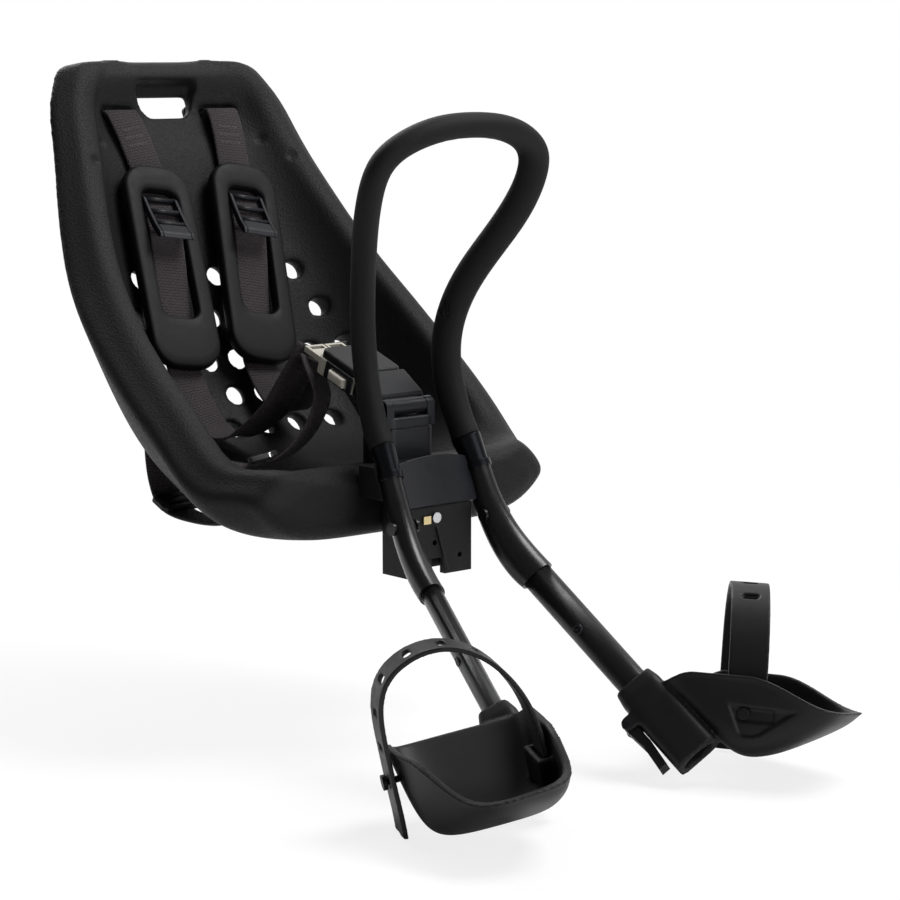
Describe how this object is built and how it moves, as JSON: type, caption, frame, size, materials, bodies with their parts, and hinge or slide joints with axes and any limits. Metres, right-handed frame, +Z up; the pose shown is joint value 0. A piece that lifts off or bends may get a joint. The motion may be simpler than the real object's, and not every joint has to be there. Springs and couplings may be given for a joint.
{
  "type": "front-mounted child bicycle seat",
  "caption": "Front-mounted child bicycle seat: foam bucket with harness and hinged buckle, foam-covered handle loop, stem socket and adjustable foot cups with straps.",
  "frame": {"origin": "middle of the mount socket's lower front edge, at the level of its mouth", "axes": "+Z up, -Y forward where the child faces, +X to the child's left"},
  "size_m": [0.3182, 0.5534, 0.4406],
  "materials": {
    "eva_foam": "fine leathery grain, matt",
    "grip_foam": "closed-cell foam, matt",
    "webbing": "ribbed polyester webbing",
    "pad_rubber": "smooth moulded rubber, satin",
    "black_plastic": "fine moulded texture",
    "satin_plastic": "smooth satin",
    "grey_plastic": "smooth light grey",
    "tube_paint": "satin black powder coat",
    "collar_metal": "dark anodised, satin",
    "steel": "plain steel",
    "bright_screw": "bright plated",
    "brass_stop": "plain brass",
    "strap_rubber": "satin moulded rubber"
  },
  "bodies": {
    "seat": {"seat_shell": "eva_foam", "seat_bracket": "tube_paint", "bracket_screws": "steel", "mount_socket": "black_plastic", "latch_screw": "bright_screw", "latch_block": "brass_stop", "bridge_plate": "satin_plastic", "crotch_post": "satin_plastic", "post_lid": "satin_plastic", "hinge_pin": "steel", "frame_tube": "tube_paint", "grip_foam": "grip_foam", "collar_left": "collar_metal", "collar_right": "collar_metal", "lower_leg_left": "tube_paint", "lower_leg_right": "tube_paint", "leg_rivets": "tube_paint", "hip_slider": "bright_screw", "shoulder_pad_left": "pad_rubber", "strap_adjuster_left": "black_plastic", "shoulder_strap_left": "webbing", "strap_anchor_left": "steel", "hip_strap_left": "webbing", "rear_strap_left": "webbing", "rear_slider_left": "black_plastic", "shoulder_pad_right": "pad_rubber", "strap_adjuster_right": "black_plastic", "shoulder_strap_right": "webbing", "strap_anchor_right": "steel", "hip_strap_right": "webbing", "rear_strap_right": "webbing", "rear_slider_right": "black_plastic"},
    "buckle": {"buckle_arm": "satin_plastic", "buckle_base": "grey_plastic", "buckle_cover": "black_plastic", "buckle_tongue_left": "grey_plastic", "buckle_tongue_right": "grey_plastic"},
    "button_left": {"buckle_button_left": "grey_plastic"},
    "footrest_left": {"footrest_left": "black_plastic", "foot_strap_left": "strap_rubber", "strap_pegs_left": "black_plastic", "lever_pin_left": "steel"},
    "lever_left": {"footrest_lever_left": "black_plastic"},
    "button_right": {"buckle_button_right": "grey_plastic"},
    "footrest_right": {"footrest_right": "black_plastic", "foot_strap_right": "strap_rubber", "strap_pegs_right": "black_plastic", "lever_pin_right": "steel"},
    "lever_right": {"footrest_lever_right": "black_plastic"}
  },
  "joints": [
    {"name": "buckle_hinge", "type": "hinge", "parent": "seat", "child": "buckle", "pos_m": [0, 0.0345, 0.1048], "axis": [1, 0, 0], "range_deg": [0, 40]},
    {"name": "button_left_press", "type": "slide", "parent": "buckle", "child": "button_left", "axis": [-1, 0, 0], "range_m": [0, 0.003], "stiffness_N_per_m": 300, "springref_m": -0.001},
    {"name": "footrest_left_slide", "type": "slide", "parent": "seat", "child": "footrest_left", "axis": [-0.1397, 0.7759, 0.6152], "range_m": [0, 0.05]},
    {"name": "lever_left_release", "type": "hinge", "parent": "footrest_left", "child": "lever_left", "pos_m": [0.04732, -0.12517, -0.08418], "axis": [0.7293, 0.5009, -0.4661], "range_deg": [0, 14], "stiffness_Nm_per_rad": 0.15, "springref_deg": -5.73},
    {"name": "button_right_press", "type": "slide", "parent": "buckle", "child": "button_right", "axis": [1, 0, 0], "range_m": [0, 0.003], "stiffness_N_per_m": 300, "springref_m": -0.001},
    {"name": "footrest_right_slide", "type": "slide", "parent": "seat", "child": "footrest_right", "axis": [0.1397, 0.7759, 0.6152], "range_m": [0, 0.05]},
    {"name": "lever_right_release", "type": "hinge", "parent": "footrest_right", "child": "lever_right", "pos_m": [-0.04732, -0.12517, -0.08418], "axis": [0.7293, -0.5009, 0.4661], "range_deg": [0, 14], "stiffness_Nm_per_rad": 0.15, "springref_deg": -5.73}
  ]
}
